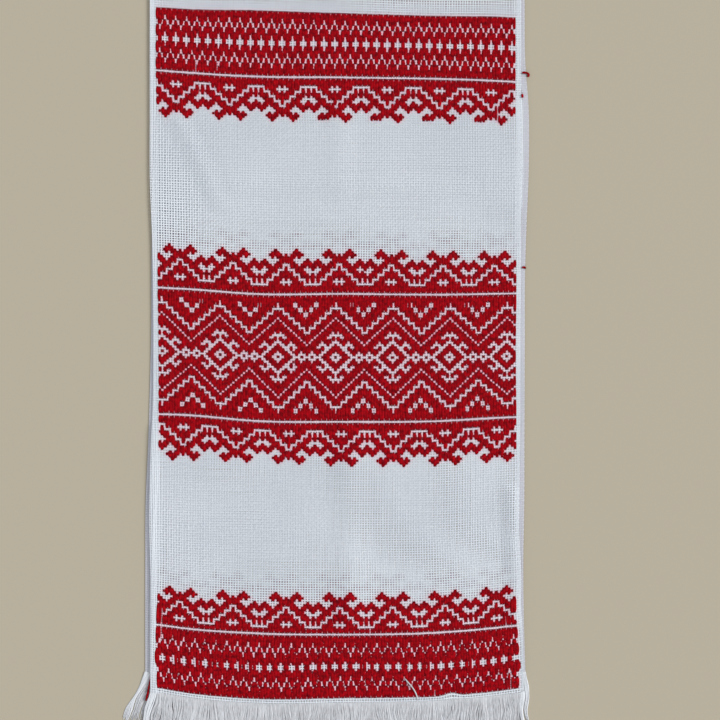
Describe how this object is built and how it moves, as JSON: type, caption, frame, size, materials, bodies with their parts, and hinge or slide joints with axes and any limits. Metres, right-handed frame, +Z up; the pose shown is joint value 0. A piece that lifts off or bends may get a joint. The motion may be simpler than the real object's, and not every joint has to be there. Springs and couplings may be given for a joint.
{
  "type": "folded woven ritual towel",
  "caption": "Long narrow white open-weave cloth folded in half to lie flat, with red geometric bands, plain selvedges and a straight fringe at each end.",
  "frame": {"origin": "middle of the towel's footprint, on the plane it lies on", "axes": "+X across the cloth, +Y from the fringes to the fold, +Z up out of the upper layer"},
  "size_m": [0.3792, 0.8186, 0.0053],
  "materials": {
    "cloth": "matt open plain weave of soft white thread bundles",
    "pattern_yarn": "soft red float yarn with a dull sheen",
    "fringe_yarn": "matt loose white yarn"
  },
  "bodies": {
    "root": {"cloth": "cloth", "fringe_upper": "fringe_yarn", "fringe_lower": "fringe_yarn"}
  },
  "joints": []
}
